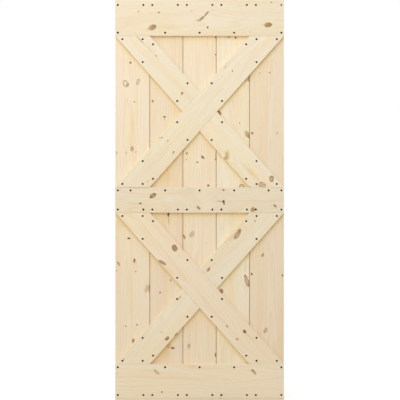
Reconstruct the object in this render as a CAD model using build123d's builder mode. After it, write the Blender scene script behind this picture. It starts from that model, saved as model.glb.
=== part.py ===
from build123d import *
import math
import os

# A sliding barn-door slab in knotty pine. Five upright tongue-and-groove boards form the slab. On its front,
# three rails and two crosses of braces are screwed on. Each cross is one long brace and two short ones that
# butt on it. The origin is the middle of the front face of the top rail, where strap hangers are bolted on.
# +X is to the right as seen from the front, +Y goes into the door and +Z is up.

# Overall sizes
door_width = 900.0
door_height = 2134.0
board_thickness = 20.0
frame_thickness = 15.0

# Widths of the boards and of the pieces on the front
inner_board_width = 178.0
rail_width = 192.0
middle_rail_width = 136.0
brace_width = 138.0

# Tongue-and-groove joint between neighbouring boards
tongue_length = 7.0
tongue_thickness = 6.0
tongue_tip = 1.0
v_joint = 3.5
seam_gap = 0.4
joint_clearance = 0.3

# Eased edges, and the fine gap where a brace is cut to fit
edge_round = 1.0
butt_gap = 0.4

# Countersunk screw holes in the pieces on the front
screw_hole_radius = 2.8
screw_head_radius = 5.6
countersink_angle = 90.0
screw_inset = 17.0
outer_row_inset = 27.0
side_inset = 14.0
screw_pair_spacing = 136.0
brace_pair_spacing = 55.0

# Levels, worked out from the sizes above
door_top = rail_width / 2
door_bottom = door_top - door_height
panel_height = (door_height - 2 * rail_width - middle_rail_width) / 2
upper_panel_middle = -rail_width / 2 - panel_height / 2
middle_rail_middle = -rail_width / 2 - panel_height - middle_rail_width / 2
lower_panel_middle = middle_rail_middle - middle_rail_width / 2 - panel_height / 2
bottom_rail_middle = door_bottom + rail_width / 2
half_width = door_width / 2

# A brace runs from corner to corner of its panel with its full width inside the corners, which sets its slope
panel_diagonal = math.hypot(door_width, panel_height)
brace_angle = math.atan2(panel_height, door_width) + math.asin(brace_width / panel_diagonal)
brace_cut = brace_width / math.sin(brace_angle)

# Five pairs of screws spread evenly over the width, with the outer ones side_inset from the door's sides
pair_pitch = (half_width - side_inset - screw_pair_spacing / 2) / 2

back_of_frame = Plane.XZ.offset(-frame_thickness)


def paired_row():
    """Places across the door of a row with two screws in each of the five boards."""
    pair_middles = [step * pair_pitch for step in range(-2, 3)]
    return [middle + side * screw_pair_spacing / 2 for middle in pair_middles for side in (-1, 1)]


def single_row(steps):
    """Places across the door of a row with one screw near each side and one at each pitch step given."""
    edge_screw = half_width - side_inset
    return [-edge_screw, *(step * pair_pitch for step in steps), edge_screw]


def rail_screws(upper_row, upper_level, lower_row, lower_level):
    """Screw places of a rail, from its two rows and their levels."""
    return [(x, upper_level) for x in upper_row] + [(x, lower_level) for x in lower_row]


def arm_screws(side, end):
    """Six screw places on the arm of a cross that points to side (-1 left, 1 right) and end (-1 down, 1 up).

    The places are measured from the middle of the panel. Four straddle the seams of the boards along the
    arm's two edges, and two lie beside the rail.
    """
    slope = math.tan(brace_angle)
    edge_rise = (brace_width / 2 - screw_inset) / math.cos(brace_angle)
    end_level = panel_height / 2 - butt_gap - screw_inset
    near_seams = [(step + 0.5) * pair_pitch for step in range(2)]
    below_seams = [(x - brace_pair_spacing / 2) for x in near_seams]
    beyond_seams = [(x + brace_pair_spacing / 2) for x in near_seams]
    places = [(x, x * slope + edge_rise) for x in below_seams]
    places += [(x, x * slope - edge_rise) for x in beyond_seams]
    places += [(beyond_seams[-1], end_level), ((end_level + edge_rise) / slope, end_level)]
    return [(side * x, end * z) for x, z in places]


def drill_screw_holes(places):
    """Countersunk clearance holes through the frame, sunk from the front face."""
    with Locations(*places):
        CounterSinkHole(
            radius=screw_hole_radius,
            counter_sink_radius=screw_head_radius,
            depth=frame_thickness,
            counter_sink_angle=countersink_angle,
        )


def save(piece, name):
    piece.part.label = name
    export_step(piece.part, f"parts/{name}.step")


def make_board(name, left, right, has_groove, has_tongue):
    """An upright board with a V at each seam, a groove on its left side and a tongue on its right."""
    body_left = left + (seam_gap / 2 if has_groove else 0)
    body_right = right - (seam_gap / 2 if has_tongue else 0)
    board_middle = frame_thickness + board_thickness / 2
    with BuildPart() as board:
        with BuildSketch(Plane.XY.offset(door_bottom)) as profile:
            with Locations(((body_left + body_right) / 2, board_middle)):
                Rectangle(body_right - body_left, board_thickness)
            left_corners = profile.vertices().group_by(Axis.X)[0]
            right_corners = profile.vertices().group_by(Axis.X)[-1]
            if has_groove:
                chamfer(left_corners, length=v_joint)
                groove_depth = tongue_length - seam_gap + joint_clearance
                with Locations((body_left, board_middle)):
                    Rectangle(
                        groove_depth,
                        tongue_thickness + 2 * joint_clearance,
                        align=(Align.MIN, Align.CENTER),
                        mode=Mode.SUBTRACT,
                    )
            else:
                fillet(left_corners, radius=edge_round)
            if has_tongue:
                chamfer(right_corners, length=v_joint)
                with Locations((body_right, board_middle)):
                    Rectangle(tongue_length, tongue_thickness, align=(Align.MIN, Align.CENTER))
                chamfer(profile.vertices().group_by(Axis.X)[-1], length=tongue_tip)
            else:
                fillet(right_corners, radius=edge_round)
        extrude(amount=door_height)
    save(board, name)


def make_rail(name, middle, width, screw_places):
    """A level board across the front, with eased long edges."""
    with BuildPart(Plane.XZ) as rail:
        with BuildSketch(back_of_frame):
            with Locations((0, middle)):
                Rectangle(door_width, width)
        extrude(amount=frame_thickness)
        front_face = rail.faces().sort_by(Axis.Y)[0]
        fillet(front_face.edges().filter_by(Axis.X), radius=edge_round)
        drill_screw_holes(screw_places)
    save(rail, name)


def make_brace(name, panel_middle, lean, arms, butts_on=None):
    """A brace of a cross, leaning to the right (lean 1) or to the left (lean -1) as it rises.

    arms lists the ends that it reaches, as (side, end). A short brace gives in butts_on the side of the long
    brace that it butts on, -1 below it or 1 above it, and is cut off there along the long brace's edge.
    """
    foot, head = -panel_height / 2, panel_height / 2
    outline = [
        (-lean * half_width, foot),
        (-lean * (half_width - brace_cut), foot),
        (lean * half_width, head),
        (lean * (half_width - brace_cut), head),
    ]
    along = Vector(lean * math.cos(brace_angle), 0, math.sin(brace_angle))
    screws = [(x, panel_middle + z) for side, end in arms for x, z in arm_screws(side, end)]
    with BuildPart(Plane.XZ) as brace:
        with BuildSketch(back_of_frame):
            with Locations((0, panel_middle)):
                Polygon(*outline, align=None)
                Rectangle(door_width, panel_height - 2 * butt_gap, mode=Mode.INTERSECT)
        extrude(amount=frame_thickness)
        front_face = brace.faces().sort_by(Axis.Y)[0]
        fillet(front_face.edges().filter_by(Axis((0, 0, 0), along)), radius=edge_round)
        if butts_on:
            up_from_long_brace = Vector(lean * math.sin(brace_angle), 0, math.cos(brace_angle))
            reach = butts_on * (brace_width / 2 + butt_gap)
            cut = Plane(
                origin=Vector(0, 0, panel_middle) + up_from_long_brace * reach,
                z_dir=up_from_long_brace * butts_on,
            )
            split(bisect_by=cut, keep=Keep.TOP)
        drill_screw_holes(screws)
    save(brace, name)


os.makedirs("parts", exist_ok=True)

# Boards, from the left side of the door to the right
inner_seams = [(step - 1.5) * inner_board_width for step in range(4)]
board_edges = [-half_width, *inner_seams, half_width]
board_names = ["left_board", "left_inner_board", "centre_board", "right_inner_board", "right_board"]
for index, name in enumerate(board_names):
    make_board(
        name,
        left=board_edges[index],
        right=board_edges[index + 1],
        has_groove=index > 0,
        has_tongue=index < len(board_names) - 1,
    )

# Rails
make_rail(
    "top_rail",
    middle=0,
    width=rail_width,
    screw_places=rail_screws(
        paired_row(), door_top - outer_row_inset, single_row(range(-1, 2)), -rail_width / 2 + screw_inset
    ),
)
make_rail(
    "middle_rail",
    middle=middle_rail_middle,
    width=middle_rail_width,
    screw_places=rail_screws(
        single_row(range(-2, 3)),
        middle_rail_middle + middle_rail_width / 2 - screw_inset,
        paired_row(),
        middle_rail_middle - middle_rail_width / 2 + screw_inset,
    ),
)
make_rail(
    "bottom_rail",
    middle=bottom_rail_middle,
    width=rail_width,
    screw_places=rail_screws(
        single_row(range(-1, 2)),
        bottom_rail_middle + rail_width / 2 - screw_inset,
        paired_row(),
        door_bottom + outer_row_inset,
    ),
)

# Upper cross: the long brace rises to the right
make_brace("upper_long_brace", upper_panel_middle, lean=1, arms=[(-1, -1), (1, 1)])
make_brace("upper_left_short_brace", upper_panel_middle, lean=-1, arms=[(-1, 1)], butts_on=1)
make_brace("upper_right_short_brace", upper_panel_middle, lean=-1, arms=[(1, -1)], butts_on=-1)

# Lower cross: the long brace rises to the left
make_brace("lower_long_brace", lower_panel_middle, lean=-1, arms=[(1, -1), (-1, 1)])
make_brace("lower_right_short_brace", lower_panel_middle, lean=1, arms=[(1, 1)], butts_on=1)
make_brace("lower_left_short_brace", lower_panel_middle, lean=1, arms=[(-1, -1)], butts_on=-1)
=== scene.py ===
import math
import random
from collections import namedtuple

import bmesh
import bpy
from mathutils import Matrix, Vector
from mathutils.geometry import tessellate_polygon


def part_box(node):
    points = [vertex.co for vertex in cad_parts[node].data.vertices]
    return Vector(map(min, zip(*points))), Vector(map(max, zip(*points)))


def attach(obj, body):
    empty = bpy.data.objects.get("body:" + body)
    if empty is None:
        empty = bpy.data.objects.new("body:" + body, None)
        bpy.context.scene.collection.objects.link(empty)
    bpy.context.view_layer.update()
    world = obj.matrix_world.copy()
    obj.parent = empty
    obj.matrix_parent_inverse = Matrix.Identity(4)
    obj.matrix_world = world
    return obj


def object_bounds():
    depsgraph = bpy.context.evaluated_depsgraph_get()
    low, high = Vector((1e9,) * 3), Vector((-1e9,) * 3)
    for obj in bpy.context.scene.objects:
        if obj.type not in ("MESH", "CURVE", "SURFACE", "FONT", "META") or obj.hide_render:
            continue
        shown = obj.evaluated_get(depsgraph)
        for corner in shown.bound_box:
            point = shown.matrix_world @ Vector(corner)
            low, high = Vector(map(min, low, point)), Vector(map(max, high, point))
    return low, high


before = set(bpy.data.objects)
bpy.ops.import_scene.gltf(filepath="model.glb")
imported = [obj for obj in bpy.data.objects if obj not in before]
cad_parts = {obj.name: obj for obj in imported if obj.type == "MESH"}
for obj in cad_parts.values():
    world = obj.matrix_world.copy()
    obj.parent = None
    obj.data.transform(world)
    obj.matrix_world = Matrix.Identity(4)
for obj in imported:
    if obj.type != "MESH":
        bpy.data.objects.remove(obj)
cad_box = [list(corner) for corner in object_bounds()]
MM = 0.001

# Sizes of the door, read from the frame in metres
door_low, door_high = (Vector(corner) for corner in cad_box)
door_width = door_high.x - door_low.x
door_height = door_high.z - door_low.z
half_width = door_width / 2
middle_x = (door_low.x + door_high.x) / 2
middle_z = (door_low.z + door_high.z) / 2
inner_board_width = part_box("centre_board")[0][0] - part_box("left_inner_board")[0][0]
panel_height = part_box("top_rail")[0][2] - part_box("middle_rail")[1][2]

# A brace runs from corner to corner of its panel with its full width inside, which sets its slope in degrees
BRACE_WIDTH = 138 * MM
panel_diagonal = math.hypot(door_width, panel_height)
brace_slope = math.degrees(math.atan2(panel_height, door_width) + math.asin(BRACE_WIDTH / panel_diagonal))


def node_middle(name):
    """The middle of a node's box."""
    low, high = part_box(name)
    return (Vector(low) + Vector(high)) / 2


# Helpers for shader trees
SHELTER_SAMPLES = 8


class Shader:
    """Adds nodes to a tree and links them, so that a material reads as a list of steps."""

    def __init__(self, tree):
        self.tree = tree

    def add(self, kind, inputs=None, **settings):
        """A new node. Its settings come first, because they can change which inputs it has."""
        node = self.tree.nodes.new("ShaderNode" + kind)
        for name, value in settings.items():
            setattr(node, name, value)
        for key, value in (inputs or {}).items():
            self.feed(node.inputs[key], value)
        return node

    def feed(self, socket, value):
        """Links a socket to another, or sets its value."""
        if isinstance(value, bpy.types.NodeSocket):
            self.tree.links.new(value, socket)
        else:
            socket.default_value = value

    def math(self, operation, first, second=0.0, third=0.0):
        node = self.add("Math", {0: first, 1: second, 2: third}, operation=operation)
        return node.outputs[0]

    def vector(self, operation, first, second=(0, 0, 0)):
        node = self.add("VectorMath", {0: first, 1: second}, operation=operation)
        return node.outputs["Value" if operation in ("LENGTH", "DOT_PRODUCT") else "Vector"]

    def part(self, vector, axis):
        """One coordinate of a vector."""
        return self.add("SeparateXYZ", {0: vector}).outputs[axis]

    def ramp(self, value, low, high, at_low=0.0, at_high=1.0):
        """A smooth step from at_low to at_high as value goes from low to high."""
        inputs = {"Value": value, "From Min": low, "From Max": high, "To Min": at_low, "To Max": at_high}
        return self.add("MapRange", inputs, interpolation_type="SMOOTHSTEP").outputs["Result"]

    def fall(self, value, low, high):
        """A smooth step from 1 to 0 as value goes from low to high."""
        return self.ramp(value, low, high, at_low=1.0, at_high=0.0)

    def mix(self, factor, first, second, blend="MIX"):
        """Two colours mixed. Inputs 6 and 7 and output 2 are the colour sockets of the Mix node."""
        inputs = {0: factor, 6: first, 7: second}
        return self.add("Mix", inputs, data_type="RGBA", blend_type=blend).outputs[2]

    def tint(self, factor, colour, by):
        """A colour multiplied by another, as far as factor says."""
        return self.mix(factor, colour, by, "MULTIPLY")

    def place(self, vector, location=(0, 0, 0), rotation=(0, 0, 0), scale=(1, 1, 1)):
        """The vector as seen from a frame with this location, rotation and scale."""
        inputs = {"Vector": vector, "Location": location, "Rotation": rotation, "Scale": scale}
        return self.add("Mapping", inputs, vector_type="TEXTURE").outputs["Vector"]

    def noise(self, vector, size, detail=2.0, roughness=0.5, output="Fac"):
        """Noise whose lumps have this size along each axis."""
        sized = self.place(vector, scale=size)
        inputs = {"Vector": sized, "Scale": 1.0, "Detail": detail, "Roughness": roughness}
        return self.add("TexNoise", inputs).outputs[output]

    def shelter(self, direction, reach, full, none):
        """1 where pieces within reach hide what lies in a direction, 0 in the open.

        full and none are the shares of open view at which the result is 1 and 0.
        """
        normal = self.add("NewGeometry").outputs["Normal"]
        facing = self.vector("NORMALIZE", self.vector("ADD", normal, direction))
        view = self.add("AmbientOcclusion", {"Distance": reach, "Normal": facing}, samples=SHELTER_SAMPLES)
        return self.fall(view.outputs["AO"], full, none)

    def seen(self):
        """1 for rays that show the surface itself, 0 for those that only carry its light to others."""
        rays = self.add("LightPath").outputs
        direct = self.math("MAXIMUM", rays["Is Camera Ray"], rays["Is Glossy Ray"])
        return self.math("MAXIMUM", direct, rays["Is Transmission Ray"])


def new_group(name, inputs, outputs):
    """A node group with these sockets, given as {name: kind}, and its shader, input and output nodes."""
    tree = bpy.data.node_groups.new(name, "ShaderNodeTree")
    for in_out, sockets in (("INPUT", inputs), ("OUTPUT", outputs)):
        for socket_name, kind in sockets.items():
            tree.interface.new_socket(socket_name, in_out=in_out, socket_type="NodeSocket" + kind)
    source = tree.nodes.new("NodeGroupInput")
    sink = tree.nodes.new("NodeGroupOutput")
    return tree, Shader(tree), source.outputs, sink.inputs


def new_material(name):
    """An empty material and the shader for its tree."""
    material = bpy.data.materials.new(name)
    material.use_nodes = True
    material.node_tree.nodes.clear()
    return material, Shader(material.node_tree)


# Pine. Grain coordinates are in millimetres: x along the piece, y into the door, z across the piece.
FLAT = 1e6  # a scale so large that a coordinate stops counting

# Colours of marks in the wood; all but those of knots multiply the wood's own tone
KNOT_BROWN = (0.44, 0.265, 0.118, 1)
KNOT_DARK = (0.06, 0.037, 0.010, 1)
LATE_WOOD = (0.84, 0.74, 0.56, 1)
PINK = (1.0, 0.93, 0.875, 1)
STRAW = (1.0, 0.985, 0.88, 1)
CANAL = (0.62, 0.45, 0.28, 1)
RESIN = (0.97, 0.89, 0.66, 1)
# The V joints are darkened in colour: partly dust, partly painted shadow of the groove
JOINT_DUST_AND_SHADE = (0.55, 0.46, 0.36, 1)  # dust and shadow deep in the V joints between the boards

# Strength of those marks
LATE_DEPTH = 0.7
PINK_DEPTH = 0.9
STRAW_DEPTH = 0.70
CANAL_DEPTH = 0.18
FIBRE_DEPTH = 0.045

# Growth rings: their width and sway, and the shares of a ring where late wood starts, is full and ends
RING_WIDTH = 4.2
RING_SWAY = 16.0
LOG_TAPER = 0.010
LATE_START, LATE_FULL, LATE_END = 0.30, 0.86, 0.90

# Sizes of lumps in the noises along the grain, into the door and across the grain
SWAY_SIZE = (420, 45, 45)
FIBRE_SIZE = (38, 0.8, 0.8)
CANAL_SIZE = (5.0, 0.45, 0.45)
OPEN_CANAL_SIZE = (6.0, 0.5, 0.5)
PINK_SIZE = (800, 34, 34)
STRAW_SIZE = (700, 90, 90)
PLANER_WAVE_SIZE = (60, 25, 25)
WOBBLE_SIZE = (18, 18, 18)
PATCH_SIZE = (9, 9, 9)
FIBRE_DETAIL = {"detail": 3.0, "roughness": 0.6}

# Painted golden shade on the pine where a piece keeps the light from above off it
GOLDEN_PAINTED_SHADE = (1.03, 0.985, 0.84, 1)
GOLDEN_SHADE_REACH = 160 * MM
UPWARD = (0, 0, 1.6)

# It is shaded beside the upper right edges of the braces, on the side away from the light
EDGE_SHADE = (0.93, 0.94, 0.985, 1)
EDGE_REACH = 24 * MM
DOWN_AND_LEFT = (-1.15, 0, -1.1)

# Surface of planed pine
PINE_ROUGHNESS = 0.66
LATE_POLISH = 0.10  # late wood and knots are harder, so they are smoother
KNOT_POLISH = 0.14
PINE_SPECULAR = 0.25
RELIEF_STRENGTH = 0.35
RELIEF_DEPTH = 0.15 * MM


def make_knot_group():
    """One knot: adds its stain and pushes the grain aside. Distances are in radii of the knot."""
    ring_pace, ring_depth = 17.0, 0.07
    patch_depth, patch_least = 1.5, 0.25
    rim_place, rim_fade = 0.82, 0.24
    halo_start, halo_end, halo_depth = 0.9, 2.3, 0.10
    push = 0.65
    tree, s, given, result = new_group(
        "knot",
        {
            "Grain": "Vector",
            "Rough Grain": "Vector",
            "Patches": "Float",
            "Stain": "Float",
            "Shift": "Float",
            "Place": "Vector",
            "Size": "Vector",
            "Turn": "Vector",
            "Reach": "Vector",
            "Core": "Float",
            "Rim": "Float",
            "Softness": "Float",
            "Lean": "Float",
        },
        {"Stain": "Float", "Shift": "Float"},
    )
    inside = s.place(given["Rough Grain"], given["Place"], given["Turn"], given["Size"])
    distance = s.vector("LENGTH", inside)
    edge_low = s.math("SUBTRACT", 1.0, given["Softness"])
    edge_high = s.math("ADD", 1.0, given["Softness"])
    body = s.fall(distance, edge_low, edge_high)
    rings = s.math("SINE", s.math("MULTIPLY", distance, ring_pace))
    patchy = s.math("MULTIPLY_ADD", given["Patches"], patch_depth, patch_least)
    leaning = s.math("MULTIPLY_ADD", s.part(inside, "X"), given["Lean"], 1.0)
    patchy = s.math("MULTIPLY", patchy, leaning)
    core = s.math("MULTIPLY", given["Core"], s.math("MULTIPLY_ADD", rings, ring_depth, patchy))
    rim = s.fall(s.math("ABSOLUTE", s.math("SUBTRACT", distance, rim_place)), 0.0, rim_fade)
    stain = s.math("MULTIPLY", body, s.math("MULTIPLY_ADD", rim, given["Rim"], core))
    halo_core = s.math("MULTIPLY", given["Core"], halo_depth)
    halo = s.math("MULTIPLY", s.fall(distance, halo_start, halo_end), halo_core)
    s.feed(result["Stain"], s.math("MAXIMUM", given["Stain"], s.math("MAXIMUM", stain, halo)))

    around = s.place(given["Grain"], given["Place"], scale=given["Reach"])
    closeness = s.math("EXPONENT", s.math("MULTIPLY", s.vector("DOT_PRODUCT", around, around), -1.0))
    aside = s.part(s.vector("MULTIPLY", around, given["Reach"]), "Z")
    pushed = s.math("MULTIPLY", aside, s.math("MULTIPLY", closeness, push))
    s.feed(result["Shift"], s.math("SUBTRACT", given["Shift"], pushed))
    return tree


def make_streak_group():
    """One golden streak of resin with soft ends and edges."""
    fade_start, fade_end = 0.2, 1.2
    tree, s, given, result = new_group(
        "streak",
        {
            "Rough Grain": "Vector",
            "Resin": "Float",
            "Place": "Vector",
            "Size": "Vector",
            "Turn": "Vector",
            "Depth": "Float",
        },
        {"Resin": "Float"},
    )
    inside = s.place(given["Rough Grain"], given["Place"], given["Turn"], given["Size"])
    body = s.fall(s.vector("LENGTH", inside), fade_start, fade_end)
    s.feed(result["Resin"], s.math("MAXIMUM", given["Resin"], s.math("MULTIPLY", body, given["Depth"])))
    return tree


def make_pine_group():
    """The wood itself, from grain coordinates that the knots have already pushed aside."""
    tree, s, given, result = new_group(
        "pine",
        {
            "Grain": "Vector",
            "Stain": "Float",
            "Pith": "Vector",
            "Seed": "Vector",
            "Tone": "Color",
            "Rings": "Float",
            "Joint": "Float",
            "Resin": "Float",
        },
        {"Color": "Color", "Roughness": "Float"},
    )
    seeded = s.vector("ADD", given["Grain"], given["Seed"])

    # Growth rings, cut by the faces of the piece
    sway = s.noise(seeded, SWAY_SIZE, detail=1.5)
    taper = s.math("MULTIPLY", s.part(given["Grain"], "X"), LOG_TAPER)
    from_pith = s.place(given["Grain"], given["Pith"], scale=(FLAT, 1, 1))
    radius = s.math("ADD", s.vector("LENGTH", from_pith), taper)
    radius = s.math("MULTIPLY_ADD", sway, RING_SWAY, radius)
    ring = s.math("FRACT", s.math("DIVIDE", radius, RING_WIDTH))
    late = s.math("MULTIPLY", s.ramp(ring, LATE_START, LATE_FULL), s.fall(ring, LATE_END, 1.0))

    # Fine fibres, short resin canals and soft streaks of colour along the piece
    fibre = s.noise(seeded, FIBRE_SIZE, **FIBRE_DETAIL)
    canal = s.ramp(s.noise(seeded, CANAL_SIZE, detail=0.0), low=0.70, high=0.80)
    pink = s.ramp(s.noise(seeded, PINK_SIZE), low=0.44, high=0.72)
    straw = s.ramp(s.noise(seeded, STRAW_SIZE, detail=1.0), low=0.42, high=0.75)

    # The tone of the piece, with all of these laid over it
    late_share = s.math("MULTIPLY", late, s.math("MULTIPLY", given["Rings"], LATE_DEPTH))
    colour = s.tint(late_share, given["Tone"], LATE_WOOD)
    colour = s.tint(s.math("MULTIPLY", pink, PINK_DEPTH), colour, PINK)
    colour = s.tint(s.math("MULTIPLY", straw, STRAW_DEPTH), colour, STRAW)
    grey = s.ramp(fibre, low=0.25, high=0.75, at_low=1.0 - FIBRE_DEPTH, at_high=1.0 + FIBRE_DEPTH)
    colour = s.tint(1.0, colour, s.add("CombineColor", {0: grey, 1: grey, 2: grey}).outputs[0])
    colour = s.tint(s.math("MULTIPLY", canal, CANAL_DEPTH), colour, CANAL)
    colour = s.tint(given["Resin"], colour, RESIN)
    colour = s.mix(s.ramp(given["Stain"], low=0.0, high=0.5), colour, KNOT_BROWN)
    colour = s.mix(s.ramp(given["Stain"], low=0.5, high=1.0), colour, KNOT_DARK)
    # dust and painted shadow deep in the V joints between the boards
    colour = s.tint(given["Joint"], colour, JOINT_DUST_AND_SHADE)
    # painted golden shade where pieces above hide the light from above
    colour = s.tint(s.shelter(UPWARD, GOLDEN_SHADE_REACH, full=0.45, none=0.75), colour, GOLDEN_PAINTED_SHADE)
    colour = s.tint(s.shelter(DOWN_AND_LEFT, EDGE_REACH, full=0.45, none=0.85), colour, EDGE_SHADE)
    s.feed(result["Color"], colour)

    roughness = s.math("MULTIPLY_ADD", late, -LATE_POLISH, PINE_ROUGHNESS)
    in_knot = s.ramp(given["Stain"], low=0.2, high=0.8)
    s.feed(result["Roughness"], s.math("MULTIPLY_ADD", in_knot, -KNOT_POLISH, roughness))
    return tree


def make_relief_group():
    """The feel of planed pine: raised fibres, open canals and the slow waves that a planer leaves."""
    canal_depth, wave_height = 0.4, 0.8
    tree, s, given, result = new_group("relief", {"Grain": "Vector"}, {"Height": "Float"})
    fibre = s.noise(given["Grain"], FIBRE_SIZE, **FIBRE_DETAIL)
    canal = s.ramp(s.noise(given["Grain"], OPEN_CANAL_SIZE, detail=0.0), low=0.66, high=0.80)
    wave = s.noise(given["Grain"], PLANER_WAVE_SIZE, detail=1.0)
    height = s.math("MULTIPLY_ADD", canal, -canal_depth, fibre)
    s.feed(result["Height"], s.math("MULTIPLY_ADD", wave, wave_height, height))
    return tree


knot_group = make_knot_group()
streak_group = make_streak_group()
pine_group = make_pine_group()
relief_group = make_relief_group()

# A knot, streak or stain on the front of the door. across and down are its place from the door's left side
# and top, length and width its size, all in millimetres. turn is the direction of its length in degrees,
# anticlockwise from the horizontal. core and rim say how dark its middle and its edge are (0.5 is brown, 1
# nearly black), soft how far its edge fades, and lean how much darker its far end is than its near one.
Knot = namedtuple("Knot", "across down length width turn core rim soft lean", defaults=(0.0, 0.2, 0.0))

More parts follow.
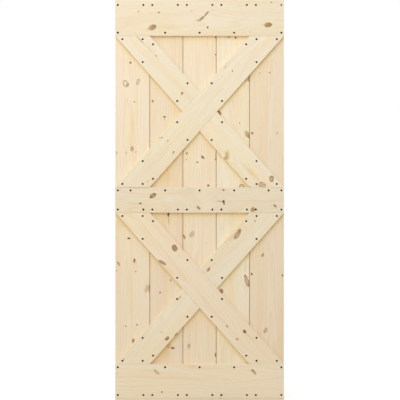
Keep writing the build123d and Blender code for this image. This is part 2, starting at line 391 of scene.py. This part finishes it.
KNOTS = {
    "top_rail": [
        Knot(199, 146, 42, 27, 22, 0.46, 0.06, 0.25, 0.3),
        Knot(179, 154, 30, 8, 12, 0.25, 0.0, 0.6),
        Knot(450, 107, 30, 8, 10, 0.42, 0.0, 0.35),
        Knot(464, 97, 34, 13, 38, 0.44, 0.0, 0.35),
        Knot(484, 77, 46, 11, 50, 0.40, 0.0, 0.35),
        Knot(814, 133, 42, 25, 4, 0.52, 0.06, 0.25, 0.3),
        Knot(792, 133, 34, 6, 0, 0.2, 0.0, 0.6),
        Knot(124, 61, 7, 6, 10, 0.78, 0.0, 0.35),
        Knot(233, 68, 10, 7, 30, 0.70),
        Knot(492, 146, 9, 9, 0, 0.85, 0.0, 0.3),
        Knot(406, 60, 7, 10, 90, 0.25, 0.0, 0.5),
        Knot(520, 55, 6, 9, 90, 0.25, 0.0, 0.5),
        Knot(833, 12, 11, 6, 0, 0.65),
        Knot(290, 143, 150, 14, 0, 0.07, 0.0, 0.8),
        Knot(663, 27, 40, 22, 0, 0.08, 0.0, 0.8),
        Knot(723, 168, 26, 10, 0, 0.12, 0.0, 0.7),
    ],
    "middle_rail": [
        Knot(201, 1044, 37, 22, 38, 0.40, 0.62),
        # painted shade of the butt joint along the middle rail's top edge, listed as a mark
        Knot(94, 1001, 186, 4, 0, 0.26, 0.0, 0.5),
        Knot(110, 1053, 200, 4, 0, 0.10, 0.0, 0.8),
        Knot(100, 1067, 180, 4, 0, 0.10, 0.0, 0.8),
        Knot(133, 1085, 15, 10, 0, 0.78, 0.0, 0.35),
        Knot(96, 1086, 76, 4, 0, 0.2, 0.0, 0.8),
        Knot(578, 1075, 13, 13, 0, 1.0),
        Knot(581, 1087, 10, 9, 60, 0.72, 0.0, 0.3),
        Knot(560, 1074, 40, 4, 2, 0.38, 0.0, 0.8),
        Knot(706, 1072, 340, 5, 1, 0.13, 0.0, 0.8),
        Knot(444, 1109, 24, 12, -55, 0.52),
        Knot(735, 1118, 26, 22, 90, 0.42, 0.06),
        Knot(852, 1099, 18, 10, -45, 0.68),
        Knot(577, 1015, 12, 9, 0, 0.72, 0.0, 0.3),
    ],
    "bottom_rail": [
        Knot(221, 1985, 40, 16, -42, 0.26, 0.0, 0.45),
        Knot(211, 1976, 10, 6, -42, 0.65, 0.0, 0.4),
        Knot(740, 1984, 36, 17, -55, 0.34, 0.0, 0.45),
        Knot(731, 1975, 10, 7, -30, 0.78, 0.0, 0.35),
        Knot(249, 2091, 10, 8, 40, 0.65),
        Knot(561, 2122, 7, 6, 0, 0.65),
        Knot(409, 1957, 40, 20, 0, 0.10, 0.0, 0.8),
        Knot(75, 2064, 150, 6, 0, 0.10, 0.0, 0.8),
    ],
    "upper_left_short_brace": [
        Knot(131, 210, 58, 3.5, -46, 0.58, 0.0, 0.6),
        Knot(182, 262, 100, 3, -47, 0.22, 0.0, 0.8),
        Knot(217, 298, 13, 6, -45, 0.78, 0.0, 0.35),
        Knot(356, 499, 18, 9, 52, 0.75),
        Knot(60, 264, 10, 5, -48, 0.75, 0.0, 0.5),
    ],
    "upper_long_brace": [
        Knot(586, 359, 24, 9, 48, 0.22, 0.0, 0.6),
        Knot(625, 379, 6, 8, 0, 0.70),
        Knot(249, 736, 9, 9, 0, 0.72, 0.0, 0.3),
        Knot(238, 736, 5, 6, 0, 0.50),
        Knot(279, 752, 9, 7, 0, 0.60),
        Knot(311, 813, 17, 12, 60, 0.40),
        Knot(174, 967, 10, 6, 30, 0.32, 0.0, 0.5),
    ],
    "upper_right_short_brace": [
        Knot(596, 830, 52, 23, 92, 0.24, 0.0, 0.5),
        Knot(590, 842, 22, 12, 60, 0.38, 0.0, 0.5),
        Knot(711, 910, 170, 20, -45, 0.10, 0.0, 0.8),
        Knot(783, 986, 45, 31, -8, 0.28, 0.08),
        Knot(834, 955, 38, 24, 92, 0.33, 0.25, 0.2, 0.15),
        Knot(717, 999, 6, 5, 0, 0.75),
    ],
    "lower_long_brace": [
        Knot(317, 1324, 37, 27, 108, 0.46, 0.2, 0.2, 0.15),
        Knot(250, 1400, 50, 18, -30, 0.42, 0.0, 0.4, 0.2),
        Knot(596, 1739, 19, 8, -45, 0.36),
        Knot(650, 1809, 17, 7, -40, 0.42),
        Knot(690, 1768, 21, 15, -45, 0.74),
        Knot(710, 1790, 60, 10, -48, 0.12, 0.0, 0.8),
    ],
    "lower_right_short_brace": [
        Knot(653, 1249, 64, 28, 60, 0.30, 0.08, 0.35),
        Knot(634, 1260, 66, 30, 52, 0.10, 0.0, 0.8),
        Knot(662, 1234, 27, 11, 70, 0.62, 0.0, 0.35),
        Knot(640, 1263, 22, 12, 58, 0.42, 0.0, 0.4),
        Knot(626, 1266, 56, 30, 55, 0.08, 0.0, 0.7),
        Knot(498, 1437, 25, 11, 62, 0.55),
        Knot(746, 1179, 10, 5, -40, 0.60),
    ],
    "lower_left_short_brace": [
        Knot(248, 1771, 13, 11, 45, 0.22, 0.0, 0.4),
        Knot(277, 1806, 25, 16, 50, 0.45, 0.55),
        Knot(325, 1785, 19, 10, 48, 0.78, 0.0, 0.4),
        Knot(46, 1916, 16, 6, 48, 0.34, 0.0, 0.4),
        Knot(345, 1586, 16, 7, 55, 0.36, 0.0, 0.4),
    ],
    "left_board": [
        Knot(80, 333, 12, 11, 90, 0.78, 0.0, 0.35),
        Knot(56, 446, 44, 30, -55, 0.12, 0.26),
        Knot(64, 453, 24, 14, 60, 0.36, 0.0, 0.4),
        Knot(121, 436, 36, 20, 75, 0.20, 0.16, 0.3),
        Knot(102, 544, 9, 6, 90, 0.65),
        Knot(89, 794, 30, 19, 80, 0.26, 0.12),
        Knot(7, 815, 18, 8, 90, 0.32, 0.0, 0.4),
        Knot(57, 815, 15, 8, 90, 0.24, 0.0, 0.4),
        Knot(110, 810, 12, 6, 90, 0.30),
        Knot(72, 1273, 15, 11, 0, 0.92, 0.0, 0.3),
        Knot(102, 1390, 24, 12, 85, 0.62),
        Knot(17, 1407, 28, 12, -62, 0.34, 0.0, 0.4),
        Knot(7, 1446, 8, 6, 90, 0.65),
        Knot(109, 1448, 6, 6, 90, 0.55),
        Knot(168, 1541, 44, 22, 70, 0.24, 0.0, 0.5),
        Knot(182, 1540, 46, 6, 90, 0.5, 0.0, 0.5),
        Knot(55, 1740, 8, 6, 90, 0.78, 0.0, 0.35),
        Knot(115, 1734, 9, 8, 90, 0.70),
        Knot(96, 1819, 22, 11, 80, 0.68),
    ],
    "left_inner_board": [
        Knot(199, 539, 12, 11, 80, 0.78, 0.0, 0.35),
        Knot(263, 624, 12, 11, 30, 0.78, 0.0, 0.35),
        Knot(262, 638, 6, 5, 90, 0.45),
        Knot(269, 675, 130, 18, 90, 0.06, 0.0, 0.8),
        Knot(283, 1145, 22, 11, 90, 0.75),
        Knot(285, 1178, 46, 8, 90, 0.22, 0.0, 0.5),
        Knot(295, 1495, 7, 6, 90, 0.78, 0.0, 0.35),
        Knot(238, 1561, 10, 7, 90, 0.75),
        Knot(306, 1858, 19, 10, -5, 0.72, 0.0, 0.35),
        Knot(285, 1848, 32, 26, 60, 0.20, 0.0, 0.6),
    ],
    "centre_board": [
        Knot(536, 197, 10, 8, 90, 0.78, 0.0, 0.35),
        Knot(536, 290, 10, 6, 90, 0.78, 0.0, 0.35),
        Knot(382, 818, 14, 9, 90, 0.55, 0.0, 0.35),
        Knot(380, 851, 6, 5, 90, 0.55),
        Knot(439, 865, 11, 8, 0, 0.78, 0.0, 0.35),
        Knot(466, 839, 21, 10, -35, 0.75),
        Knot(496, 989, 12, 11, 0, 0.78, 0.0, 0.35),
        Knot(536, 847, 10, 7, 90, 0.75),
        Knot(537, 824, 36, 5, 90, 0.26, 0.0, 0.5),
        Knot(410, 1249, 41, 24, 62, 0.26, 0.06, 0.4),
        Knot(367, 1263, 28, 11, -65, 0.42),
        Knot(482, 1296, 12, 8, 90, 0.15, 0.0, 0.5),
        Knot(393, 1848, 34, 15, 90, 0.27, 0.0, 0.6),
        Knot(536, 1895, 25, 9, 82, 0.65),
    ],
    "right_inner_board": [
        Knot(607, 197, 22, 9, 0, 0.30),
        Knot(642, 200, 14, 8, 90, 0.78, 0.0, 0.35),
        Knot(712, 421, 32, 8, 85, 0.34),
        Knot(702, 428, 22, 12, 35, 0.20, 0.0, 0.4),
        Knot(555, 602, 29, 18, -65, 0.62),
        Knot(663, 655, 8, 6, 90, 0.55),
        Knot(706, 717, 44, 24, -65, 0.28, 0.06, 0.35),
        Knot(713, 729, 26, 9, -75, 0.46, 0.0, 0.4),
        Knot(676, 994, 30, 26, 0, 0.20, 0.46),
        Knot(702, 1499, 72, 21, -72, 0.28, 0.30),
        Knot(696, 1425, 80, 7, 90, 0.15, 0.0, 0.8),
        Knot(566, 1554, 26, 20, -60, 0.50, 0.26),
    ],
    "right_board": [
        Knot(770, 388, 7, 6, 90, 0.40),
        Knot(825, 387, 8, 7, 90, 0.75),
        Knot(731, 710, 13, 10, 90, 0.78, 0.0, 0.35),
        Knot(776, 681, 16, 8, 90, 0.14, 0.0, 0.5),
        Knot(865, 711, 18, 7, 90, 0.32, 0.0, 0.4),
        Knot(787, 1361, 22, 11, 75, 0.48),
        Knot(728, 1463, 11, 10, 90, 0.72, 0.0, 0.3),
        Knot(893, 1469, 10, 8, 90, 0.62, 0.0, 0.35),
        Knot(802, 1763, 34, 18, 65, 0.24, 0.18),
    ],
}

# A golden streak of resin, with place, size and direction as for a knot. depth is its strength.
Streak = namedtuple("Streak", "across down length width turn depth")

STREAKS = {
    "top_rail": [
        Streak(285, 134, 140, 5, 0, 0.7),
        Streak(278, 149, 130, 6, 0, 0.7),
    ],
    "centre_board": [
        Streak(520, 290, 210, 28, 90, 0.55),
    ],
    "upper_right_short_brace": [
        Streak(732, 922, 130, 26, -48, 0.75),
        Streak(650, 922, 230, 34, -49, 0.6),
        Streak(604, 872, 90, 26, -48, 0.6),
        Streak(597, 826, 76, 42, 80, 0.9),
    ],
    "lower_long_brace": [
        Streak(296, 1446, 110, 28, -48, 0.8),
        Streak(716, 1797, 100, 20, -48, 0.6),
        Streak(342, 1366, 60, 14, -48, 0.4),
    ],
    "lower_right_short_brace": [
        Streak(640, 1250, 150, 40, 52, 0.35),
    ],
    "left_board": [
        Streak(88, 690, 240, 26, 90, 0.7),
        Streak(168, 1530, 90, 30, 85, 0.4),
        Streak(30, 1180, 130, 60, 80, 0.45),
    ],
    "left_inner_board": [
        Streak(342, 290, 210, 24, 90, 0.55),
        Streak(240, 1200, 200, 90, 90, 0.4),
        Streak(262, 1890, 150, 66, 48, 0.6),
        Streak(258, 955, 130, 70, 48, 0.6),
    ],
    "right_inner_board": [
        Streak(676, 985, 60, 60, 90, 0.5),
        Streak(640, 1160, 130, 120, 90, 0.3),
        Streak(655, 1866, 210, 54, -48, 0.5),
    ],
}

# Tones of pine
PALE_PINE = (0.92, 0.84, 0.665, 1)
STRAW_PINE = (0.89, 0.81, 0.63, 1)
PEACH_PINE = (0.915, 0.805, 0.62, 1)
ROSY_PINE = (0.93, 0.83, 0.645, 1)
TAN_PINE = (0.89, 0.775, 0.60, 1)
HONEY_PINE = (0.865, 0.775, 0.595, 1)

# How each piece was cut: the direction of its grain in degrees, where the pith of its log lay across and
# behind the front of the door in millimetres, the tone of its wood and the strength of its rings.
Cut = namedtuple("Cut", "turn pith_across pith_behind tone rings")
UPRIGHT, LEVEL = 90, 0

CUTS = {
    "left_board": Cut(UPRIGHT, 18, 150, PEACH_PINE, 0.30),
    "left_inner_board": Cut(UPRIGHT, -60, 95, TAN_PINE, 0.32),
    "centre_board": Cut(UPRIGHT, 10, 120, PEACH_PINE, 0.32),
    "right_inner_board": Cut(UPRIGHT, 45, 170, PALE_PINE, 0.28),
    "right_board": Cut(UPRIGHT, -20, 110, TAN_PINE, 0.34),
    "top_rail": Cut(LEVEL, -25, 140, HONEY_PINE, 0.28),
    "middle_rail": Cut(LEVEL, 20, 120, HONEY_PINE, 0.30),
    "bottom_rail": Cut(LEVEL, 30, 130, ROSY_PINE, 0.30),
    "upper_long_brace": Cut(brace_slope, 15, 160, STRAW_PINE, 0.26),
    "upper_left_short_brace": Cut(-brace_slope, -10, 20, STRAW_PINE, 0.28),
    "upper_right_short_brace": Cut(-brace_slope, 25, 120, PALE_PINE, 0.30),
    "lower_long_brace": Cut(-brace_slope, -30, 110, PEACH_PINE, 0.30),
    "lower_right_short_brace": Cut(brace_slope, 0, 140, STRAW_PINE, 0.30),
    "lower_left_short_brace": Cut(brace_slope, 20, 150, PALE_PINE, 0.28),
}

# How far a knot pushes the grain aside, across it in radii of the knot and along it in shares of that
PUSH_ACROSS = 1.5
PUSH_ALONG = 2.6

# How far the outlines of knots and streaks waver along and across the grain, in millimetres
WOBBLE = (10, 0, 10)
NOISE_MIDDLE = (0.5, 0.5, 0.5)

# Each piece takes its wood from another stretch of the noises, one step further on
SEED_STEP = Vector((1370.0, 210.0, 530.0))

# Distances from a seam at which the shade of a V joint is full and ends
JOINT_FULL = 0.4 * MM
JOINT_END = 2.3 * MM


def mark_inputs(mark, to_grain, grain_turn):
    """Place, size and direction of a knot or streak, in grain coordinates."""
    on_door = Vector((door_low.x / MM + mark.across, 0, door_high.z / MM - mark.down))
    return {
        "Place": to_grain @ on_door,
        "Size": (mark.length / 2, FLAT, mark.width / 2),
        "Turn": (0, -math.radians(mark.turn - grain_turn), 0),
    }


def joint_mask(s, place):
    """1 deep in the V joints between the boards, 0 on their faces."""
    across = s.math("ABSOLUTE", s.part(place, "X"))
    off_board_middle = s.math("ABSOLUTE", s.math("SUBTRACT", across, inner_board_width))
    to_seam = s.math("ABSOLUTE", s.math("SUBTRACT", off_board_middle, inner_board_width / 2))
    return s.fall(to_seam, JOINT_FULL, JOINT_END)


def make_pine(name, seed):
    """The material of one piece of the door."""
    cut = CUTS[name]
    middle = node_middle(name) / MM
    middle.y = 0
    turn = -math.radians(cut.turn)
    to_grain = (Matrix.Translation(middle) @ Matrix.Rotation(turn, 4, "Y")).inverted()

    material, s = new_material("pine_" + name)
    place = s.add("TexCoord").outputs["Object"]
    grain = s.place(place, middle * MM, (0, turn, 0), (MM, MM, MM))
    wobble = s.vector("SUBTRACT", s.noise(grain, WOBBLE_SIZE, detail=3.0, output="Color"), NOISE_MIDDLE)
    rough_grain = s.vector("ADD", grain, s.vector("MULTIPLY", wobble, WOBBLE))
    patches = s.noise(grain, PATCH_SIZE)

    stain, shift, resin = 0.0, 0.0, 0.0
    for knot in KNOTS[name]:
        reach = PUSH_ACROSS * max(knot.length, knot.width) / 2
        inputs = {
            "Grain": grain,
            "Rough Grain": rough_grain,
            "Patches": patches,
            "Stain": stain,
            "Shift": shift,
            "Reach": (PUSH_ALONG * reach, FLAT, reach),
            "Core": knot.core,
            "Rim": knot.rim,
            "Softness": knot.soft,
            "Lean": knot.lean,
        }
        inputs.update(mark_inputs(knot, to_grain, cut.turn))
        marked = s.add("Group", inputs, node_tree=knot_group).outputs
        stain, shift = marked["Stain"], marked["Shift"]
    for streak in STREAKS.get(name, []):
        inputs = {"Rough Grain": rough_grain, "Resin": resin, "Depth": streak.depth}
        inputs.update(mark_inputs(streak, to_grain, cut.turn))
        resin = s.add("Group", inputs, node_tree=streak_group).outputs["Resin"]

    aside = s.add("CombineXYZ", {"Z": shift}).outputs["Vector"]
    wood = s.add(
        "Group",
        {
            "Grain": s.vector("ADD", grain, aside),
            "Stain": stain,
            "Pith": (0, cut.pith_behind, cut.pith_across),
            "Seed": SEED_STEP * seed,
            "Tone": cut.tone,
            "Rings": cut.rings,
            "Joint": joint_mask(s, place) if name.endswith("board") else 0.0,
            "Resin": resin,
        },
        node_tree=pine_group,
    )
    relief = s.add("Group", {"Grain": s.vector("ADD", grain, SEED_STEP * seed)}, node_tree=relief_group)
    bump = s.add(
        "Bump",
        {"Height": relief.outputs["Height"], "Strength": RELIEF_STRENGTH, "Distance": RELIEF_DEPTH},
    )
    surface = s.add(
        "BsdfPrincipled",
        {
            "Base Color": wood.outputs["Color"],
            "Roughness": wood.outputs["Roughness"],
            "Normal": bump.outputs["Normal"],
            "Specular IOR Level": PINE_SPECULAR,
        },
    )
    s.add("OutputMaterial", {"Surface": surface.outputs["BSDF"]})
    return material


for index, name in enumerate(CUTS):
    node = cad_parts[name]
    node.data.materials.clear()
    node.data.materials.append(make_pine(name, seed=index + 1))


# Screws: countersunk heads with a cross recess, in the holes of the rails and braces
HEAD_RADIUS = 5.5 * MM
SHANK_RADIUS = 2.7 * MM
SHANK_END = 9 * MM
HEAD_SINK = 0.1 * MM
HEAD_EASE = 0.1 * MM
RIM_HEIGHT = 0.35 * MM
ROUND_STEPS = 28
RECESS_DEPTH = 2.1 * MM
RECESS_REACH, RECESS_HALF_SLOT = 2.6 * MM, 0.6 * MM
RECESS_FLOOR_REACH, RECESS_FLOOR_HALF_SLOT = 1.4 * MM, 0.4 * MM

# Places of the screws
SCREW_INSET = 17 * MM
OUTER_ROW_INSET = 27 * MM
SIDE_INSET = 14 * MM
PAIR_SPACING = 136 * MM
BRACE_PAIR_SPACING = 55 * MM
BUTT_GAP = 0.4 * MM
pair_pitch = (half_width - SIDE_INSET - PAIR_SPACING / 2) / 2

# Finish of the screws, speckled between a dark and a light tone
BLACK_TONES = ((0.018, 0.009, 0.003, 1), (0.036, 0.020, 0.008, 1))
WORN_TONES = ((0.18, 0.145, 0.105, 1), (0.34, 0.285, 0.215, 1))
SPECKLE_SIZE = (0.6 * MM, 0.6 * MM, 0.6 * MM)
SPECKLE_STRENGTH = 0.15
SPECKLE_DEPTH = 0.05 * MM
SCREW_SPECULAR = 0.02
TURN_SEED = 7


def make_screw_material(name, tones):
    """The finish of a screw."""
    dark, light = tones
    material, s = new_material(name)
    speckle = s.noise(s.add("TexCoord").outputs["Object"], SPECKLE_SIZE, detail=3.0)
    bump = s.add("Bump", {"Height": speckle, "Strength": SPECKLE_STRENGTH, "Distance": SPECKLE_DEPTH})
    surface = s.add(
        "BsdfPrincipled",
        {
            "Base Color": s.mix(s.ramp(speckle, low=0.35, high=0.75), dark, light),
            "Roughness": s.ramp(speckle, low=0.3, high=0.8, at_low=0.7, at_high=0.9),
            "Specular IOR Level": SCREW_SPECULAR,
            "Normal": bump.outputs["Normal"],
        },
    )
    s.add("OutputMaterial", {"Surface": surface.outputs["BSDF"]})
    return material


def paired_row():
    """Places across the door of a row with two screws in each of the five boards."""
    return [step * pair_pitch + side * PAIR_SPACING / 2 for step in range(-2, 3) for side in (-1, 1)]


def single_row(steps):
    """Places across the door of a row with one screw near each side and one at each step from the middle."""
    edge = half_width - SIDE_INSET
    return [-edge, *(step * pair_pitch for step in range(-steps, steps + 1)), edge]


def rail_screws(name, upper_row, upper_inset, lower_row, lower_inset):
    """Places of the screws on a rail, from its two rows and how far they lie inside its edges."""
    low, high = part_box(name)
    upper = [(x, high[2] - upper_inset) for x in upper_row]
    lower = [(x, low[2] + lower_inset) for x in lower_row]
    return upper + lower


def arm_screws(panel_low, panel_high, side, end):
    """Places of the six screws on the arm of a cross that points to side and end (-1 or 1)."""
    slope = math.tan(math.radians(brace_slope))
    rise = (BRACE_WIDTH / 2 - SCREW_INSET) / math.cos(math.radians(brace_slope))
    end_level = (panel_high - panel_low) / 2 - BUTT_GAP - SCREW_INSET
    middle = (panel_high + panel_low) / 2
    seams = [(step + 0.5) * pair_pitch for step in range(2)]
    before_seams = [x - BRACE_PAIR_SPACING / 2 for x in seams]
    beyond_seams = [x + BRACE_PAIR_SPACING / 2 for x in seams]
    places = [(x, x * slope + rise) for x in before_seams]
    places += [(x, x * slope - rise) for x in beyond_seams]
    places += [(beyond_seams[-1], end_level), ((end_level + rise) / slope, end_level)]
    return [(side * x, middle + end * z) for x, z in places]


def ring_points(radius, depth):
    """Points of a circle round the screw's axis."""
    turns = [2 * math.pi * step / ROUND_STEPS for step in range(ROUND_STEPS)]
    return [Vector((radius * math.cos(turn), depth, radius * math.sin(turn))) for turn in turns]


def cross_points(reach, half_slot, depth):
    """Outline of a cross recess, anticlockwise."""
    corner = [(reach, -half_slot), (reach, half_slot), (half_slot, half_slot)]
    points = []
    for quarter in range(4):
        cosine, sine = math.cos(quarter * math.pi / 2), math.sin(quarter * math.pi / 2)
        points += [Vector((cosine * x - sine * z, depth, sine * x + cosine * z)) for x, z in corner]
    return points


def add_screw(mesh, place, turn):
    """One screw, its head just below the front face and its cone in the countersink."""
    rim_depth = HEAD_SINK + RIM_HEIGHT
    loops = [
        ring_points(HEAD_RADIUS - HEAD_EASE, HEAD_SINK),
        ring_points(HEAD_RADIUS, rim_depth),
        ring_points(SHANK_RADIUS, rim_depth + HEAD_RADIUS - SHANK_RADIUS),
        ring_points(SHANK_RADIUS, SHANK_END),
    ]
    recess = [
        cross_points(RECESS_REACH, RECESS_HALF_SLOT, HEAD_SINK),
        cross_points(RECESS_FLOOR_REACH, RECESS_FLOOR_HALF_SLOT, HEAD_SINK + RECESS_DEPTH),
    ]
    swing = Matrix.Translation((place[0], 0, place[1])) @ Matrix.Rotation(turn, 4, "Y")
    rings = [[mesh.verts.new(swing @ point) for point in loop] for loop in loops + recess]
    head, lip, cone, tip, mouth, floor = rings
    for upper, lower in ((head, lip), (lip, cone), (cone, tip), (floor, mouth)):
        for step in range(len(upper)):
            after = (step + 1) % len(upper)
            mesh.faces.new((upper[step], upper[after], lower[after], lower[step]))
    flat = [[(point.x, point.z, 0) for point in loop] for loop in (loops[0], recess[0])]
    corners = head + mouth
    for triangle in tessellate_polygon(flat):
        mesh.faces.new([corners[index] for index in triangle])
    mesh.faces.new(floor)
    mesh.faces.new(tip)


def make_screws(name, places, finish, rng):
    """All the screws of one rail or brace as one piece, each turned at random."""
    mesh = bmesh.new()
    for place in places:
        add_screw(mesh, place, rng.uniform(0, math.pi / 2))
    bmesh.ops.recalc_face_normals(mesh, faces=mesh.faces)
    data = bpy.data.meshes.new(name)
    mesh.to_mesh(data)
    mesh.free()
    piece = bpy.data.objects.new(name, data)
    bpy.context.scene.collection.objects.link(piece)
    data.materials.append(finish)
    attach(piece, "root")


black_finish = make_screw_material("screw_black", BLACK_TONES)
worn_finish = make_screw_material("screw_worn", WORN_TONES)
rng = random.Random(TURN_SEED)

# The screws of the rails; the one at the door's top right is worn
top_places = rail_screws("top_rail", paired_row(), OUTER_ROW_INSET, single_row(1), SCREW_INSET)
worn_place = max(top_places, key=sum)
top_places.remove(worn_place)
middle_places = rail_screws("middle_rail", single_row(2), SCREW_INSET, paired_row(), SCREW_INSET)
bottom_places = rail_screws("bottom_rail", single_row(1), SCREW_INSET, paired_row(), OUTER_ROW_INSET)
make_screws("top_rail_screws", top_places, black_finish, rng)
make_screws("top_rail_worn_screw", [worn_place], worn_finish, rng)
make_screws("middle_rail_screws", middle_places, black_finish, rng)
make_screws("bottom_rail_screws", bottom_places, black_finish, rng)

# The screws of the braces; each brace has the arms of its cross that point to these sides and ends
upper_panel = (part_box("middle_rail")[1][2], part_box("top_rail")[0][2])
lower_panel = (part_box("bottom_rail")[1][2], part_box("middle_rail")[0][2])
BRACE_ARMS = {
    "upper_long_brace": (upper_panel, [(-1, -1), (1, 1)]),
    "upper_left_short_brace": (upper_panel, [(-1, 1)]),
    "upper_right_short_brace": (upper_panel, [(1, -1)]),
    "lower_long_brace": (lower_panel, [(1, -1), (-1, 1)]),
    "lower_right_short_brace": (lower_panel, [(1, 1)]),
    "lower_left_short_brace": (lower_panel, [(-1, -1)]),
}
for name, (panel, arms) in BRACE_ARMS.items():
    places = [place for side, end in arms for place in arm_screws(*panel, side, end)]
    make_screws(name + "_screws", places, black_finish, rng)

# Stage: a floor that fades out, white where it is seen and dimmer in the light that it throws on the door
FLOOR_SIZE = 7.0
FLOOR_GAP = 2 * MM
FLOOR_BOUNCE = (0.56, 0.53, 0.48, 1)
FLOOR_GREY = (0.5, 0.5, 0.5, 1)
FLOOR_LIFT = 0.58
FLOOR_FADE_START, FLOOR_FADE_END = 1.4, 3.4
WHITE = (1, 1, 1, 1)


def make_floor_material():
    """White paper that shows soft shadows and fades out with distance."""
    material, s = new_material("floor")
    seen = s.seen()
    matte = s.add("BsdfDiffuse", {"Color": s.mix(seen, FLOOR_BOUNCE, FLOOR_GREY)})
    lift = s.add("Emission", {"Color": WHITE, "Strength": s.math("MULTIPLY", seen, FLOOR_LIFT)})
    lit = s.add("AddShader", {0: matte.outputs[0], 1: lift.outputs[0]})
    away = s.vector("LENGTH", s.add("TexCoord").outputs["Object"])
    fade = s.ramp(away, FLOOR_FADE_START, FLOOR_FADE_END)
    clear = s.add("BsdfTransparent")
    faded = s.add("MixShader", {0: fade, 1: lit.outputs[0], 2: clear.outputs[0]})
    s.add("OutputMaterial", {"Surface": faded.outputs[0]})
    return material


floor_mesh = bpy.data.meshes.new("floor")
floor_bm = bmesh.new()
bmesh.ops.create_grid(floor_bm, x_segments=1, y_segments=1, size=FLOOR_SIZE / 2)
floor_bm.to_mesh(floor_mesh)
floor_bm.free()
floor_mesh.materials.append(make_floor_material())
floor = bpy.data.objects.new("floor", floor_mesh)
floor.location = (0, 0, door_low.z - FLOOR_GAP)
bpy.context.scene.collection.objects.link(floor)

# A white backdrop that lights the door with a dimmer and warmer glow
SKY_BOUNCE = (1.0, 0.92, 0.78, 1)
AMBIENT = 0.60
world = bpy.data.worlds.new("studio")
bpy.context.scene.world = world
world.use_nodes = True
world.node_tree.nodes.clear()
s = Shader(world.node_tree)
seen = s.seen()
strength = s.math("MULTIPLY_ADD", seen, 1.0 - AMBIENT, AMBIENT)
sky = s.add("Background", {"Color": s.mix(seen, SKY_BOUNCE, WHITE), "Strength": strength})
s.add("OutputWorld", {"Surface": sky.outputs[0]})


def add_softbox(name, place, aim, width, height, power, colour):
    """A rectangular lamp that faces the point at which it is aimed."""
    light = bpy.data.lights.new(name, "AREA")
    light.shape = "RECTANGLE"
    light.size = width
    light.size_y = height
    light.energy = power
    light.color = colour
    lamp = bpy.data.objects.new(name, light)
    lamp.location = place
    lamp.rotation_euler = (Vector(aim) - Vector(place)).to_track_quat("-Z", "Y").to_euler()
    bpy.context.scene.collection.objects.link(lamp)


# Lamps: a large one in front, one high above that shades the lower edges, and one behind for the back
COOL_WHITE = (0.96, 1.0, 1.14)
SKY_WHITE = (0.95, 1.0, 1.10)
at_middle = (0, 0, middle_z)
before_middle = (0, -0.1, middle_z)
add_softbox(
    "key",
    place=(-1.2, -3.3, 2.0),
    aim=at_middle,
    width=5.0,
    height=4.4,
    power=125,
    colour=COOL_WHITE,
)
add_softbox(
    "overhead",
    place=(-1.8, -1.0, 7.5),
    aim=before_middle,
    width=3.0,
    height=1.2,
    power=120,
    colour=SKY_WHITE,
)
add_softbox(
    "back",
    place=(1.2, 3.6, 1.2),
    aim=at_middle,
    width=4.0,
    height=4.0,
    power=60,
    colour=COOL_WHITE,
)

# Camera: square to the door, with the photo's frame. The last three sizes are in the photo's pixels
LENS = 135
SENSOR = 36
PHOTO_FRAME = 400
DOOR_PIXELS = 400.2
CENTRE_PIXEL = 199.6
metres_per_pixel = door_height / DOOR_PIXELS
camera_x = middle_x + (PHOTO_FRAME / 2 - CENTRE_PIXEL) * metres_per_pixel
camera_distance = PHOTO_FRAME * metres_per_pixel * LENS / SENSOR
camera_data = bpy.data.cameras.new("camera")
camera_data.lens = LENS
camera_data.sensor_width = SENSOR
camera = bpy.data.objects.new("camera", camera_data)
camera.location = (camera_x, door_low.y - camera_distance, middle_z)
camera.rotation_euler = (math.pi / 2, 0, 0)
bpy.context.scene.collection.objects.link(camera)
bpy.context.scene.camera = camera
bpy.context.scene.view_settings.view_transform = "Standard"
